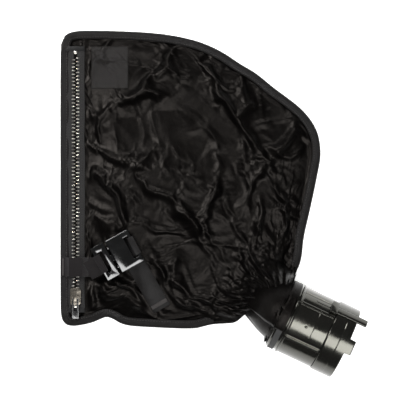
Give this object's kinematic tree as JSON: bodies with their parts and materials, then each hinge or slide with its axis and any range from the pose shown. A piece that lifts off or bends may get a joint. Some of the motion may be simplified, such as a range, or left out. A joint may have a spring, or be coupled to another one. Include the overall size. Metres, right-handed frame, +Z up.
{
  "type": "zippered debris bag with collar",
  "caption": "Flat black cloth bag with a side zip, a buckled lock strap and a round plastic collar on its lower corner neck.",
  "frame": {"origin": "middle of the bag's underside, on the surface it lies on", "axes": "+Z up off the surface, +Y along the zip away from the slider, +X from the zip to the collar's side"},
  "size_m": [0.322, 0.3652, 0.0768],
  "materials": {
    "bag_cloth": "crinkled satin black nylon",
    "edge_tape": "ribbed woven tape",
    "zip_tape": "fine twill tape",
    "tie": "flat woven band",
    "zip_teeth": "dark plated, polished tips",
    "slider_metal": "warm plated metal",
    "pull_lacquer": "glossy black lacquer",
    "collar_plastic": "glossy black moulding",
    "buckle_plastic": "glossy black moulding",
    "webbing": "matte charcoal webbing",
    "thread": "dark thread",
    "label_cloth": "plain woven patch"
  },
  "bodies": {
    "bag": {"back_panel": "bag_cloth", "front_panel": "bag_cloth", "side_strip": "bag_cloth", "edge_binding": "edge_tape", "zip_bottom_tab": "edge_tape", "zip_top_tab": "edge_tape", "zip_tape_left": "zip_tape", "zip_tape_right": "zip_tape", "zip_teeth_left": "zip_teeth", "zip_teeth_right": "zip_teeth", "zip_bottom_stop": "zip_teeth", "zip_top_stop": "zip_teeth", "buckle_base": "buckle_plastic", "buckle_socket": "buckle_plastic", "lock_strap": "webbing", "anchor_strap": "webbing", "lock_strap_tack": "thread", "anchor_strap_tack": "thread", "label_patch": "label_cloth"},
    "collar": {"neck_sleeve": "bag_cloth", "neck_tie": "tie", "collar_sleeve": "collar_plastic", "collar_end_ring": "collar_plastic", "lock_keeper": "collar_plastic"},
    "finger": {"lock_finger": "collar_plastic"},
    "slider": {"slider_body": "slider_metal"},
    "pull": {"pull_tab": "pull_lacquer"},
    "arm_upper": {"buckle_arm_upper": "buckle_plastic"},
    "arm_lower": {"buckle_arm_lower": "buckle_plastic"}
  },
  "joints": [
    {"name": "neck_swing", "type": "hinge", "parent": "bag", "child": "collar", "pos_m": [0.05575, -0.10924, 0.03844], "axis": [0, 0, 1], "range_deg": [-12, 12], "deforming": ["neck_sleeve"]},
    {"name": "finger_slide", "type": "slide", "parent": "collar", "child": "finger", "axis": [-0.9063, 0.4226, 0], "range_m": [0, 0.008], "stiffness_N_per_m": 60, "springref_m": -0.002},
    {"name": "zip_travel", "type": "slide", "parent": "bag", "child": "slider", "axis": [0, 1, 0], "range_m": [0, 0.2471]},
    {"name": "pull_flip", "type": "hinge", "parent": "slider", "child": "pull", "pos_m": [-0.14503, -0.10245, 0.00889], "axis": [-1, 0, 0], "range_deg": [0, 150]},
    {"name": "arm_upper_press", "type": "hinge", "parent": "bag", "child": "arm_upper", "pos_m": [-0.11085, -0.04902, 0.01954], "axis": [0, 0, -1], "range_deg": [0, 12], "stiffness_Nm_per_rad": 0.05},
    {"name": "arm_lower_press", "type": "hinge", "parent": "bag", "child": "arm_lower", "pos_m": [-0.10047, -0.06774, 0.01954], "axis": [0, 0, 1], "range_deg": [0, 12], "stiffness_Nm_per_rad": 0.05}
  ]
}
